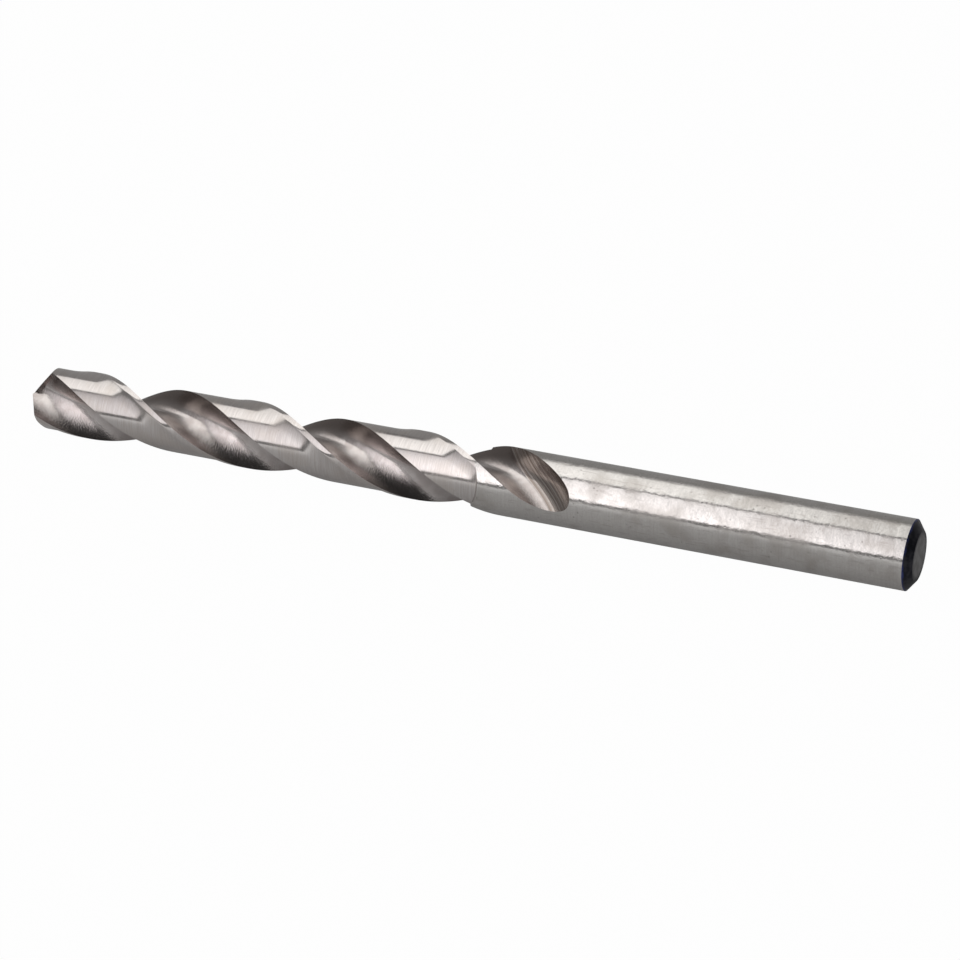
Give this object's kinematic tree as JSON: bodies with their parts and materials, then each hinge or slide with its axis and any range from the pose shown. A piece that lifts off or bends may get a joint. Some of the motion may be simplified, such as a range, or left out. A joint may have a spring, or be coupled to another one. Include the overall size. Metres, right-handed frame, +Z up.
{
  "type": "twist drill bit",
  "caption": "Jobber-length twist drill with a 118 degree conical point, right-hand spiral flutes, ground margins and a plain round shank.",
  "frame": {"origin": "centre of the shank's flat end face", "axes": "+X along the drill's axis out of the shank's end, with the point towards -X; +Z up as the drill lies on its side"},
  "size_m": [0.117, 0.0084, 0.0084],
  "materials": {
    "steel": "ground high-speed steel, bright lands, slightly tempered brown-grey flutes"
  },
  "bodies": {
    "root": {"twist_drill": "steel"}
  },
  "joints": []
}
